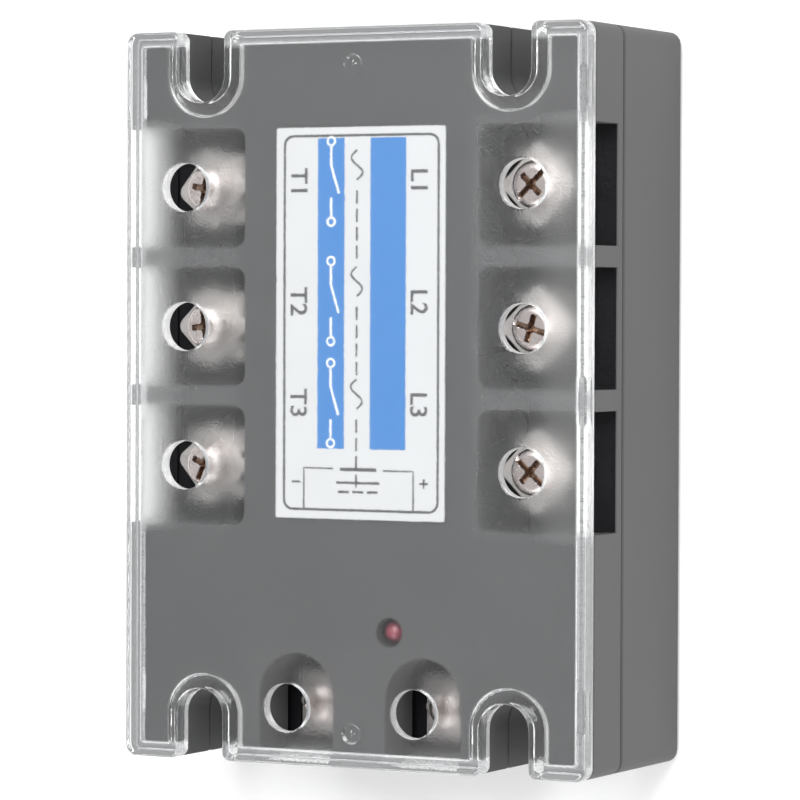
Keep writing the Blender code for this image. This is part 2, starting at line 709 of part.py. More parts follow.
def fastener_meshes(name, sizes):
    """The clamp plate, screw and nut of one terminal size, each about its own axis."""
    side, thick, hole, head, head_high, shank, shank_long, flats, nut_thick = sizes
    bm = bmesh.new()
    cut = side * 0.09
    half = side / 2
    square = []
    for sx, sy in ((1, 1), (-1, 1), (-1, -1), (1, -1)):
        ends = [(sx * half, sy * (half - cut)), (sx * (half - cut), sy * half)]
        square += ends if sx * sy > 0 else ends[::-1]
    add_prism(bm, square, 0.0, thick, top_bevel=0.15, bottom_bevel=0.15)
    bmesh.ops.rotate(bm, cent=(0, 0, 0), matrix=Matrix.Rotation(math.pi / 4, 3, "Z"), verts=bm.verts)
    plate = add_piece(f"{name}_plate", to_mesh(f"{name}_plate", bm), NICKEL)
    bm = bmesh.new()
    add_cylinder(bm, 0, 0, hole, -1.0, thick + 1.0, 18)
    combine(plate, "DIFFERENCE", add_cutter(f"{name}_plate_hole", bm))
    plate_mesh = baked(plate)

    flat_top = head * 0.62
    profile = [(0.0, head_high), (flat_top, head_high)]
    profile += [
        (flat_top + (head - flat_top) * math.sin(math.radians(a)),
         head_high - head_high * 0.62 * (1 - math.cos(math.radians(a))))
        for a in (45, 90)
    ]
    profile += [(head, 0.1), (head - 0.1, 0.0), (shank, 0.0)]
    profile += [(shank, -shank_long + 0.6), (shank - 0.6, -shank_long), (0.0, -shank_long)]
    screw = turned(f"{name}_screw", profile, NICKEL, 18)
    slot_half = head * 0.11
    for tool, long, deep, turn in (("slot", head + 1.0, 0.45, 0), ("cross", head * 0.56, 0.6, 90)):
        bm = bmesh.new()
        add_box(bm, (-long, -slot_half, head_high * (1 - deep)), (long, slot_half, head_high + 1.0))
        turning = Matrix.Rotation(math.radians(turn), 3, "Z")
        bmesh.ops.rotate(bm, cent=(0, 0, 0), matrix=turning, verts=bm.verts)
        combine(screw, "DIFFERENCE", add_cutter(f"{name}_{tool}", bm))
    screw_mesh = baked(screw)

    bm = bmesh.new()
    hexagon = regular_polygon(flats / 2 / math.cos(math.radians(30)), 6, 30)
    add_prism(bm, hexagon, 0.0, nut_thick, top_bevel=0.3, bottom_bevel=0.3)
    nut = add_piece(f"{name}_nut", to_mesh(f"{name}_nut", bm), NICKEL)
    bm = bmesh.new()
    add_cylinder(bm, 0, 0, shank + 0.25, -1.0, nut_thick + 1.0, 16)
    combine(nut, "DIFFERENCE", add_cutter(f"{name}_nut_hole", bm))
    return plate_mesh, screw_mesh, baked(nut)


def make_fasteners():
    rows = (
        ("power", POWER_SCREW, power_places(), POWER_TURNS, SILL_Z, TERMINAL_THICK),
        ("input", INPUT_SCREW, input_places(), INPUT_TURNS, INPUT_PAD_Z, INPUT_TERMINAL_THICK),
    )
    for name, sizes, places, turns, pad, terminal_thick in rows:
        plate_mesh, screw_mesh, nut_mesh = fastener_meshes(name, sizes)
        plate_low = pad + GAP
        head_low = plate_low + sizes[1] + GAP
        nut_low = pad - terminal_thick - GAP - sizes[8]
        for label, x, y in places:
            lift = LINE_LIFT if label.startswith("l") else 0.0
            place = (x, y, plate_low + lift)
            add_piece(f"{name}_clamp_{label}", plate_mesh, NICKEL, place, CLAMP_TURNS.get(label, 0))
            place = (x, y, head_low + lift)
            add_piece(f"{name}_screw_{label}", screw_mesh, NICKEL, place, turns[label])
            add_piece(f"{name}_nut_{label}", nut_mesh, NICKEL, (x, y, nut_low))


clear_scene()
PIECES = new_collection("solid_state_relay")
CUTTERS = new_collection("cutters")
CUTTERS.hide_render = True

GREY_PLASTIC = new_material("grey_plastic", (0.155, 0.155, 0.160), 0.55)
CLEAR_PLASTIC = new_material("clear_plastic", (0.95, 0.96, 0.97), 0.05, alpha=0.35, transmission=1.0)
ALUMINIUM = new_material("aluminium", (0.75, 0.76, 0.77), 0.35, 1.0)
NICKEL = new_material("nickel", (0.78, 0.72, 0.68), 0.25, 1.0)
STEEL = new_material("steel", (0.55, 0.56, 0.58), 0.35, 1.0)
LABEL_PAPER = new_material("label_paper", (0.85, 0.85, 0.86), 0.5)
BLACK_EPOXY = new_material("black_epoxy", (0.012, 0.012, 0.013), 0.35)
BOARD_GREEN = new_material("board_green", (0.02, 0.16, 0.06), 0.4)
CERAMIC = new_material("ceramic", (0.86, 0.86, 0.83), 0.5)
WHITE_PLASTIC = new_material("white_plastic", (0.8, 0.8, 0.78), 0.5)
YELLOW_PLASTIC = new_material("yellow_plastic", (0.75, 0.55, 0.08), 0.4)
RESISTOR_BLUE = new_material("resistor_blue", (0.12, 0.32, 0.55), 0.45)
RED_LENS = new_material("red_lens", (0.65, 0.05, 0.06), 0.2)

make_base_plate()
make_base_screws()
make_lower_housing()
make_upper_housing()
make_clear_cover()
make_label()
make_potting()
make_board()
make_board_parts()
make_power_modules()
make_led()
make_power_terminals()
make_input_terminals()
make_fasteners()
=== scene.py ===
"""Looks of a three-phase solid state relay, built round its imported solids.

The relay lies on its metal base and its face looks up (+Z). Shapes are worked
out in millimetres and go into the meshes in metres.
"""

import math

import bmesh
import bpy
import numpy as np
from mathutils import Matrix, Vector, geometry


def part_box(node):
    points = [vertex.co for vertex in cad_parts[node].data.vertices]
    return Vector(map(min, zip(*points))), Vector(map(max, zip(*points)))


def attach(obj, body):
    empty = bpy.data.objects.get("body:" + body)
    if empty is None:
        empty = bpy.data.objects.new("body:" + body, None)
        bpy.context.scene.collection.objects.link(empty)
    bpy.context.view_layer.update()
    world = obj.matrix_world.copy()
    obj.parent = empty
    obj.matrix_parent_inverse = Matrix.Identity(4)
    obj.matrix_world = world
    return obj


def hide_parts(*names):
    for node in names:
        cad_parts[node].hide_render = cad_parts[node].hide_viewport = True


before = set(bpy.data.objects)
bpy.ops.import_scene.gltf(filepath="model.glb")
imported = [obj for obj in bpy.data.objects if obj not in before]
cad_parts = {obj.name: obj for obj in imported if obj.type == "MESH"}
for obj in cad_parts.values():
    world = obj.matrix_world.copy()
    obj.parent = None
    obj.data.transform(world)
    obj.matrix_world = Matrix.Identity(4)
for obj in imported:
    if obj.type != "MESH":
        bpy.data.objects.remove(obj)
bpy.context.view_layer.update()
MM = 0.001


def box_mm(node):
    """Lowest and highest corner of a CAD node, in millimetres."""
    low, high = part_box(node)
    return np.array(low) / MM, np.array(high) / MM


def labels(prefix):
    """What follows this prefix in the names of the CAD nodes."""
    return sorted(n[len(prefix):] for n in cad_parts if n.startswith(prefix))


# Clear cover
COVER_LOW, COVER_HIGH = box_mm("clear_cover")
HALF_WIDTH, HALF_LENGTH = COVER_HIGH[0], COVER_HIGH[1]
COVER_BOTTOM, COVER_TOP = COVER_LOW[2], COVER_HIGH[2]
PLATE = 1.9
RIM = 1.9
RABBET = 1.0
CORNER = 1.8
MOUTH = 1.1
SLOT_X = 24.45
SLOT_Y = 46.0
SLOT_RADIUS = 3.8
POWER_HOLE = 3.5
INPUT_HOLE = 3.45
GATES = ((0.4, 47.1), (0.5, -47.5))
GATE_RADIUS = 1.5
CLIP_HALF = 3.5
CLIP_DEPTH = 0.45
CLIP_Y = (-43.3, 0.0, 43.3)
# Points on the cover's straight runs: long side, to the mouth, into the slot, out of it, half the end
RUNS = (70, 4, 6, 6, 28)
# Rows of the cover's profile on the inside of its rim, the one with the clips, and those on the outside
INNER_ROWS = (7, 8, 9)
CLIP_ROW = 8
OUTER_ROWS = (17, 18)
UNDER_FILLET = 0.4

# Power pockets
POCKET_HALF = 8.5
POCKET_MIDDLE = 10.0
SILL_INNER = 34.0
SILL_Z = 22.0

# Screws: head radius, head height, thread radius, thread pitch, thread length
SCREWS = {"power": (3.4, 2.8, 2.0, 0.7, 10.0), "input": (2.8, 1.8, 1.5, 0.5, 8.0)}
SCREW_TURNS = {"l1": 45, "l2": -17, "l3": -42, "t1": 80, "t2": 97, "t3": 66, "minus": 20, "plus": 65}

# Clamp plates: side, thickness, hole radius, corner radius
CLAMPS = {"power": (9.2, 1.0, 2.3, 1.4), "input": (6.4, 0.7, 1.75, 1.0)}
CLAMP_TURNS = {"t1": 6, "t3": -6}

# Status light
LENS_RADIUS = 1.5
FLANGE_RADIUS = 1.9
LENS_LENGTH = 5.0
LEAD_SPACING = 1.27

# Label: its film, its bands and frame as low x, low y, high x, high y, and its rows for the three phases
FILM_LOW, FILM_HIGH = box_mm("rating_label")
INK = 0.012
BANDS = ((-6.6, -7.3, -2.3, 36.85), (1.86, -7.3, 7.55, 36.85))
FRAME = (-12.0, -16.0, 12.7, 37.2)
PHASE_ROWS = (30.6, 13.6, -0.9)
WAVE_ROWS = (33.0, 16.5, 0.5)
LETTER_COLUMNS = ((-9.8, "T"), (9.5, "L"))
LETTER_SIZE = 3.8
SUPPLY_ROWS = ((-12.1, 1), (-13.4, 3))
SWITCH_X = -4.45
WAVE_X = -0.3

# Stage: floor half width and level, world brightness, and softboxes as name, place, size, power
FLOOR_HALF = 3.0
FLOOR_LEVEL = -0.0003
WORLD_STRENGTH = 0.58
AIM = (0.0, 0.0, 0.02)
SOFTBOXES = (
    ("key_softbox", (0.15, 0.5, 0.8), (0.6, 0.6), 9.0),
    ("fill_softbox", (0.1, -0.7, 0.6), (0.7, 0.4), 4.0),
    ("side_softbox", (0.9, 0.0, 0.32), (0.6, 0.4), 3.4),
)


# ------------------------------------------------------------------ meshes

def grid_faces(rows, columns, closed=True):
    """Quads between the rows of a grid of points, whose columns may close into rings."""
    row = np.arange(rows - 1)[:, None]
    column = np.arange(columns if closed else columns - 1)[None, :]
    after = (column + 1) % columns
    corners = (row * columns + column, row * columns + after,
               (row + 1) * columns + after, (row + 1) * columns + column)
    return np.stack(np.broadcast_arrays(*corners), -1).reshape(-1, 4).tolist()


def surface(points, closed=True):
    """A grid of points (rows, columns, 3) with its quads."""
    rows, columns = points.shape[:2]
    return points.reshape(-1, 3), grid_faces(rows, columns, closed)


def dress(piece, body, paint, stands_for=()):
    """Give a piece its material, its body and the CAD nodes that it stands for."""
    piece.data.materials.clear()
    piece.data.materials.append(paint)
    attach(piece, body)
    if stands_for:
        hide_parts(*stands_for)
    return piece


def mesh_piece(name, surfaces, sharp=32.0, merge=1e-7):
    """One mesh object of several surfaces in millimetres, welded, closed and facing outwards."""
    points, faces, start = [], [], 0
    for own_points, own_faces in surfaces:
        points.append(own_points)
        faces += [[start + corner for corner in face] for face in own_faces]
        start += len(own_points)
    mesh = bpy.data.meshes.new(name)
    mesh.from_pydata((np.concatenate(points) * MM).tolist(), [], faces)
    bm = bmesh.new()
    bm.from_mesh(mesh)
    bmesh.ops.remove_doubles(bm, verts=bm.verts, dist=merge)
    bmesh.ops.recalc_face_normals(bm, faces=bm.faces)
    bm.to_mesh(mesh)
    bm.free()
    mesh.shade_smooth()
    mesh.set_sharp_from_angle(angle=math.radians(sharp))
    piece = bpy.data.objects.new(name, mesh)
    bpy.context.scene.collection.objects.link(piece)
    return piece


def refined(node, name, width, clamped=False):
    """A CAD node's mesh with its triangles merged into flat faces and its edges rounded."""
    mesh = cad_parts[node].data.copy()
    if "custom_normal" in mesh.attributes:
        mesh.attributes.remove(mesh.attributes["custom_normal"])
    bm = bmesh.new()
    bm.from_mesh(mesh)
    bmesh.ops.remove_doubles(bm, verts=bm.verts, dist=2e-6)
    bmesh.ops.dissolve_limit(bm, angle_limit=math.radians(1.0), verts=bm.verts, edges=bm.edges)
    bm.to_mesh(mesh)
    bm.free()
    mesh.shade_smooth()
    piece = bpy.data.objects.new(name, mesh)
    bpy.context.scene.collection.objects.link(piece)
    bevel = piece.modifiers.new("Rounded edges", "BEVEL")
    bevel.width = width * MM
    bevel.segments = 2
    bevel.limit_method = "ANGLE"
    bevel.angle_limit = math.radians(30.0)
    bevel.use_clamp_overlap = clamped
    bevel.harden_normals = True
    return piece


def arc(x, y, radius, start, end, count):
    """Points on a circle about (x, y), from one angle to another in degrees."""
    angle = np.radians(np.linspace(start, end, count))
    return np.stack([x + radius * np.cos(angle), y + radius * np.sin(angle)], 1)


def circle(x, y, radius, count=48):
    """Evenly spaced points once round a circle."""
    return arc(x, y, radius, 0.0, 360.0, count + 1)[:-1]


def turned(x, y, profile, count=48):
    """A profile of (radius, height) points carried round the upright axis at (x, y)."""
    profile = np.asarray(profile, float)
    angle = np.linspace(0.0, 2.0 * np.pi, count, endpoint=False)
    radius = profile[:, :1]
    height = np.broadcast_to(profile[:, 1:], (len(profile), count))
    return np.stack([x + radius * np.cos(angle), y + radius * np.sin(angle), height], -1)


def flat_fill(loops, height):
    """A level face that fills the first loop and leaves the others, which are circles, open."""
    points, edges = [], []
    for loop in loops:
        first = len(points)
        points += [Vector(p) for p in loop.tolist()]
        edges += [(first + i, first + (i + 1) % len(loop)) for i in range(len(loop))]
    found = geometry.delaunay_2d_cdt(points, edges, [], 1, 1e-6)
    flat = np.array([tuple(p) for p in found[0]])
    faces = np.array([list(f) for f in found[2]])
    middles = flat[faces].mean(1)
    kept = np.ones(len(faces), bool)
    for loop in loops[1:]:
        centre = loop.mean(0)
        kept &= np.hypot(*(middles - centre).T) > np.hypot(*(loop - centre).T).min() - 1e-6
    return np.column_stack([flat, np.full(len(flat), height)]), faces[kept].tolist()


# ------------------------------------------------------------------ materials

class Value:
    """A socket whose Python operators add Math nodes."""

    def __init__(self, paint, socket):
        self.paint = paint
        self.socket = socket

    def math(self, operation, *others):
        inputs = dict(enumerate((self, *others)))
        return self.paint.node("Math", {"operation": operation}, inputs)

    def __add__(self, other):
        return self.math("ADD", other)

    def __sub__(self, other):
        return self.math("SUBTRACT", other)

    def __rsub__(self, other):
        return self.paint.node("Math", {"operation": "SUBTRACT"}, {0: other, 1: self})

    def __mul__(self, other):
        return self.math("MULTIPLY", other)

    __radd__ = __add__
    __rmul__ = __mul__

    def abs(self):
        return self.math("ABSOLUTE")


class Paint:
    """A material and the nodes that feed its Principled shader."""

    def __init__(self, name, **constants):
        self.material = bpy.data.materials.new(name)
        self.material.use_nodes = True
        self.tree = self.material.node_tree
        self.shader = self.tree.nodes["Principled BSDF"]
        for socket, value in constants.items():
            self.set(socket.replace("_", " "), value)

    def node(self, kind, settings=None, inputs=None, output=0):
        node = self.tree.nodes.new("ShaderNode" + kind)
        for setting, value in (settings or {}).items():
            setattr(node, setting, value)
        for socket, value in (inputs or {}).items():
            self.feed(node.inputs[socket], value)
        return Value(self, node.outputs[output])

    def feed(self, socket, value):
        if isinstance(value, Value):
            self.tree.links.new(value.socket, socket)
        else:
            socket.default_value = value

    def set(self, socket, value):
        if isinstance(value, tuple) and len(value) == 3:
            value = (*value, 1.0)
        self.feed(self.shader.inputs[socket], value)

    def place(self, scale=(1.0, 1.0, 1.0), centre=(0.0, 0.0, 0.0)):
        """Object coordinates, stretched and centred."""
        at = self.node("TexCoord", output=3)
        shift = tuple(-c * s for c, s in zip(centre, scale))
        return self.node("Mapping", {}, {"Vector": at, "Location": shift, "Scale": scale})

    def axis(self, letter):
        """One of the Object coordinates, in millimetres."""
        split = self.node("SeparateXYZ", {}, {0: self.node("TexCoord", output=3)}, "XYZ".index(letter))
        return split * 1000.0

    def noise(self, size, detail=2.0, rough=0.5, stretch=(1.0, 1.0, 1.0), distort=0.0):
        """Soft noise from 0 to 1 whose features are about size millimetres wide."""
        inputs = {"Vector": self.place(stretch), "Scale": 1000.0 / size, "Detail": detail,
                  "Roughness": rough, "Distortion": distort}
        return self.node("TexNoise", {}, inputs)

    def ramp(self, value, low, high):
        """0 below low, 1 above high, smooth between."""
        inputs = {"Value": value, "From Min": low, "From Max": high}
        return self.node("MapRange", {"interpolation_type": "SMOOTHSTEP"}, inputs)

    def mix(self, factor, first, second):
        """One colour turning into another."""
        first, second = ((*c, 1.0) if isinstance(c, tuple) else c for c in (first, second))
        return self.node("Mix", {"data_type": "RGBA"}, {0: factor, 6: first, 7: second}, 2)

    def bump(self, height, depth, strength=1.0):
        """Surface relief, its depth in millimetres."""
        inputs = {"Height": height, "Strength": strength, "Distance": depth * MM}
        self.set("Normal", self.node("Bump", {}, inputs))


def clear_plastic():
    """Moulded polycarbonate: polished outside, finely frosted inside, milky on its rims and hole walls."""
    paint = Paint("clear_plastic", Base_Color=(0.985, 0.99, 0.99), IOR=1.55, Transmission_Weight=1.0)
    height = paint.axis("Z")
    inside = 1.0 - paint.ramp(height, COVER_TOP - PLATE - 0.05, COVER_TOP - PLATE + 0.1)
    under_plate = paint.ramp(height, COVER_TOP - PLATE - 0.35, COVER_TOP - PLATE - 0.05)
    across = paint.axis("X").abs()
    along = paint.axis("Y")
    beside_pockets = paint.ramp((along - POCKET_MIDDLE).abs(), 28.0, 30.5)
    over_pockets = paint.ramp(across, 17.0, 20.0) * (1.0 - beside_pockets)
    over_mouths = paint.ramp(across, 27.5, 33.0) * (1.0 - beside_pockets)
    over_bays = (1.0 - paint.ramp(across, 16.5, 18.5)) * (1.0 - paint.ramp(along, -37.0, -34.5))
    hazy = over_pockets + over_bays * 0.5
    frost = paint.noise(0.4, 3.0, 0.7) * inside * (0.08 + hazy * 2.0)
    cloud = paint.noise(9.0, 2.0)
    rough = 0.03 + inside * under_plate * (0.2 + hazy * 0.08 + over_mouths * 0.5 + cloud * 0.1)
    paint.set("Roughness", rough)
    streaks = paint.noise(0.9, 3.0, 0.6, (1.0, 1.0, 0.35), 0.6)
    below_plate = 1.0 - paint.ramp(height, COVER_TOP - 0.9, COVER_TOP - 0.6)
    paint.bump(streaks * below_plate * 0.8 + frost, 0.12, 0.5)
    glass = Value(paint, paint.shader.outputs[0])
    haze = paint.node("Attribute", {"attribute_name": "milky"}, {}, "Fac")
    flecks = paint.noise(0.5, 3.0, 0.7, (1.0, 1.0, 0.5))
    white = paint.node("BsdfDiffuse", {}, {0: (0.80, 0.80, 0.81, 1.0)})
    body = paint.node("MixShader", {}, {0: haze * (0.75 + flecks * 0.5), 1: glass, 2: white})
    shadow = paint.node("LightPath", output="Is Shadow Ray")
    lit = shadow.math("MAXIMUM", paint.node("LightPath", output="Is Diffuse Ray"))
    clear = paint.node("BsdfTransparent", {}, {0: (0.93, 0.94, 0.94, 1.0)})
    both = paint.node("MixShader", {}, {0: lit, 1: body, 2: clear})
    paint.feed(paint.tree.nodes["Material Output"].inputs["Surface"], both)
    return paint.material


def grey_plastic():
    """Dark grey flame-retardant plastic with a fine spark-eroded grain."""
    paint = Paint("grey_plastic", Specular_IOR_Level=0.45)
    cloud = paint.noise(14.0, 3.0)
    speck = paint.noise(0.22, 2.0, 0.7)
    tone = paint.mix(cloud, (0.047, 0.047, 0.0485), (0.057, 0.057, 0.0585))
    paint.set("Base Color", paint.mix(paint.ramp(speck, 0.62, 0.8) * 0.5, tone, (0.10, 0.10, 0.104)))
    paint.set("Roughness", 0.5 + speck * 0.16)
    paint.bump(speck * 0.6 + paint.noise(0.5, 2.0) * 0.4, 0.05, 0.55)
    return paint.material


def nickel_plate(name, bright, dull, rough):
    """Slightly warm nickel with fine turning rings, and a painted brown shade where it lies deep in a screw's
    recess.
    """
    paint = Paint(name, Metallic=1.0)
    stain = paint.ramp(paint.noise(1.6, 3.0), 0.5, 0.75)
    tone = paint.mix(stain, bright, dull)
    hollow = paint.node("Attribute", {"attribute_name": "hollow"}, {}, "Fac")
    # painted shade: the colour turns dark brown deep in a screw head's recess
    paint.set("Base Color", paint.mix(hollow, tone, (0.27, 0.19, 0.145)))
    paint.set("Roughness", rough + paint.noise(0.8, 3.0) * 0.16)
    radius = paint.node("Attribute", {"attribute_name": "from_axis"}, {}, "Fac")
    inputs = {"W": radius * 5.0, "Scale": 1.0, "Detail": 3.0}
    rings = paint.node("TexNoise", {"noise_dimensions": "1D"}, inputs)
    paint.bump(rings * 0.6 + paint.noise(0.3) * 0.4, 0.03, 0.5)
    return paint.material


def base_metal():
    """Drawn aluminium, brushed along its length."""
    paint = Paint("base_metal", Metallic=1.0)
    lines = paint.noise(0.25, 3.0, 0.6, (1.0, 0.02, 1.0))
    paint.set("Base Color", paint.mix(lines, (0.70, 0.71, 0.72), (0.82, 0.83, 0.84)))
    paint.set("Roughness", 0.3 + lines * 0.2)
    paint.bump(lines, 0.02, 0.5)
    return paint.material


def zinc_steel():
    """Zinc-plated steel with a cloudy, slightly blue passivation."""
    paint = Paint("zinc_steel", Metallic=1.0)
    cloud = paint.noise(2.5, 3.0)
    paint.set("Base Color", paint.mix(cloud, (0.60, 0.62, 0.64), (0.72, 0.73, 0.70)))
    paint.set("Roughness", 0.28 + cloud * 0.18)
    paint.bump(paint.noise(0.4), 0.02, 0.4)
    return paint.material


def mottled(name, low, high, rough, size, depth, specular=0.5):
    """A moulded, coated or printed finish: two near tones, a varying gloss and a fine relief."""
    paint = Paint(name, Specular_IOR_Level=specular)
    cloud = paint.noise(size, 3.0)
    grain = paint.noise(size / 14.0, 2.0, 0.6)
    paint.set("Base Color", paint.mix(cloud, low, high))
    paint.set("Roughness", rough + grain * 0.12)
    paint.bump(grain, depth, 0.5)
    return paint.material


def circuit_board():
    """Green solder resist over a pattern of darker and lighter tracks."""
    paint = Paint("circuit_board")
    inputs = {"Vector": paint.place(), "Scale": 120.0, "Mortar Size": 0.035,
              "Color1": (0, 0, 0, 1), "Color2": (0.2, 0.2, 0.2, 1), "Mortar": (1, 1, 1, 1)}
    tracks = paint.node("TexBrick", {"offset": 0.5}, inputs, "Color")
    weave = paint.noise(0.7, 2.0)
    tone = paint.mix(weave, (0.012, 0.11, 0.04), (0.02, 0.15, 0.055))
    paint.set("Base Color", paint.mix(tracks, tone, (0.05, 0.27, 0.10)))
    paint.set("Roughness", 0.3 + weave * 0.15)
    paint.bump(weave, 0.03, 0.4)
    return paint.material


def red_lens():
    """Tinted, slightly milky epoxy."""
    paint = Paint("red_lens", Subsurface_Weight=0.4, Subsurface_Scale=0.001, Coat_Weight=0.4)
    cloud = paint.noise(1.5, 2.0)
    paint.set("Base Color", paint.mix(cloud, (0.24, 0.035, 0.06), (0.33, 0.06, 0.09)))
    paint.set("Roughness", 0.18 + cloud * 0.1)
    return paint.material


CLEAR = clear_plastic()
GREY = grey_plastic()
NICKEL = nickel_plate("nickel_plate", (0.67, 0.61, 0.595), (0.58, 0.51, 0.485), 0.2)
# a darker copy of the nickel: its rougher stamped finish is real, its lower tone is painted shade on the
# clamps, terminals and nuts
STAMPED_AND_SHADED = nickel_plate("stamped_nickel", (0.45, 0.43, 0.42), (0.36, 0.335, 0.32), 0.3)
ALUMINIUM = base_metal()
ZINC = zinc_steel()
BOARD = circuit_board()
LENS = red_lens()
# black epoxy for the potting, also used as painted shade on the power pockets' sills
EPOXY_AND_SHADE = mottled("black_epoxy", (0.004, 0.004, 0.005), (0.008, 0.008, 0.009), 0.3, 12.0, 0.15, 0.12)
FILM = mottled("label_film", (0.58, 0.58, 0.59), (0.62, 0.62, 0.63), 0.38, 8.0, 0.02)
BLUE_INK = mottled("blue_ink", (0.036, 0.18, 0.48), (0.042, 0.195, 0.50), 0.36, 3.0, 0.02)
DARK_INK = mottled("dark_ink", (0.045, 0.045, 0.05), (0.08, 0.08, 0.085), 0.4, 0.9, 0.02)
WHITE_INK = mottled("white_ink", (0.80, 0.80, 0.82), (0.86, 0.86, 0.88), 0.4, 2.0, 0.02)
WHITE_BODY = mottled("white_body", (0.74, 0.74, 0.71), (0.80, 0.80, 0.78), 0.42, 4.0, 0.03)
YELLOW_BODY = mottled("yellow_body", (0.68, 0.46, 0.05), (0.76, 0.55, 0.09), 0.35, 4.0, 0.03)
BLUE_BODY = mottled("blue_body", (0.09, 0.26, 0.46), (0.13, 0.34, 0.56), 0.35, 2.0, 0.03)
CERAMIC = mottled("ceramic", (0.80, 0.79, 0.76), (0.87, 0.87, 0.84), 0.45, 5.0, 0.02)


# ------------------------------------------------------------------ clear cover

def joined(parts, between):
    """One path through these parts, with evenly spaced points on the straight run between each two."""
    path = [parts[0]]
    for part, count in zip(parts[1:], between):
        share = np.linspace(0.0, 1.0, count + 2)[1:-1, None]
        path += [path[-1][-1] * (1.0 - share) + part[0] * share, part]
    return np.concatenate(path)


def all_round(quarter):
    """The closed loop of (x, y, ...) rows whose +X +Y quarter runs from the X axis to the Y axis."""
    flip_x = np.ones(quarter.shape[1])
    flip_y = flip_x.copy()
    flip_x[0] = -1.0
    flip_y[1] = -1.0
    there, back = quarter[:-1], quarter[::-1][:-1]
    return np.concatenate((there, back * flip_x, there * flip_x * flip_y, back * flip_y))


def cover_loop(inset):
    """The cover's edge moved inwards: arcs at its corners, slot mouths and slots, joined by straight runs."""
    corner = max(CORNER - inset, 0.5)
    mouth = max(MOUTH - inset, 0.3)
    half = SLOT_RADIUS + inset
    side = HALF_WIDTH - inset
    end = HALF_LENGTH - inset
    parts = (
        np.array([[side, 0.0]]),
        arc(side - corner, end - corner, corner, 0, 90, 9),
        arc(SLOT_X + half + mouth, end - mouth, mouth, 90, 180, 8),
        arc(SLOT_X, SLOT_Y, half, 0, -180, 37),
        arc(SLOT_X - half - mouth, end - mouth, mouth, 0, 90, 8),
        np.array([[0.0, end]]),
    )
    return all_round(joined(parts, RUNS))


def rim_share():
    """1 on the cover's outer edge, 0 in its slots, and a slope between them round each slot's mouth."""
    slope = np.linspace(1.0, 0.0, 8)[:, None]
    parts = (np.ones((1, 1)), np.ones((9, 1)), slope, np.zeros((37, 1)), slope[::-1], np.ones((1, 1)))
    quarter = joined(parts, RUNS)
    return all_round(np.column_stack([quarter, quarter, quarter]))[:, 2]


def clip_share(loop):
    """1 at the snap clips along both long sides, 0 elsewhere."""
    away = np.min([np.abs(loop[:, 1] - y) for y in CLIP_Y], 0)
    on_side = np.abs(loop[:, 0]) > HALF_WIDTH - 2.6
    return np.clip((CLIP_HALF - away) / 0.8, 0.0, 1.0) * on_side


def fillet(radius, steps=6):
    """Inset and drop of a rounded upper edge, from the side wall to the top."""
    angle = np.radians(np.linspace(0.0, 90.0, steps))
    return [(radius - radius * c, radius - radius * s) for c, s in zip(np.cos(angle), np.sin(angle))]


def cover_profile():
    """Rows of (inset in a slot, height in a slot, inset at the edge, height at the edge)."""
    under = COVER_TOP - PLATE
    bottom = COVER_BOTTOM
    soft = 0.12
    step = bottom + RABBET
    rows = [(RIM + 0.55, under, RIM + 0.55, under)]
    for inset, drop in fillet(UNDER_FILLET)[::-1]:
        rows.append((RIM + inset, under - drop, RIM + inset, under - drop))
    rows += [
        (RIM, bottom + 0.9, RIM, bottom + 0.9),
        (RIM, bottom + 0.5, RIM, bottom + 0.5),
        (RIM, bottom + 0.15, RIM, bottom + 0.15),
        (RIM - 0.15, bottom, RIM - 0.15, bottom),
        (soft, bottom, RABBET + soft, bottom),
        (0.0, bottom + soft, RABBET, bottom + soft),
        (0.0, bottom + soft, RABBET, step - soft),
        (0.0, bottom + soft, RABBET - soft, step),
        (0.0, bottom + soft, soft, step),
        (0.0, bottom + soft, 0.0, step + soft),
        (0.0, bottom + 1.0, 0.0, step + 0.5),
        (0.0, bottom + 2.0, 0.0, step + 1.0),
    ]
    for (slot_in, slot_drop), (edge_in, edge_drop) in zip(fillet(0.35), fillet(0.7)):
        rows.append((slot_in, COVER_TOP - slot_drop, edge_in, COVER_TOP - edge_drop))
    rows.append((0.47, COVER_TOP, 0.82, COVER_TOP))
    return rows


def ripple(loop, phase):
    """Faint moulding waves along a wall, in millimetres."""
    run = np.concatenate([[0.0], np.cumsum(np.hypot(*np.diff(loop, axis=0).T))])
    slow = 0.018 * np.sin(run * 2.1 + phase) * np.sin(run * 0.73 + 2.0 * phase)
    return 0.03 + slow + 0.012 * np.sin(run * 4.7 - phase)


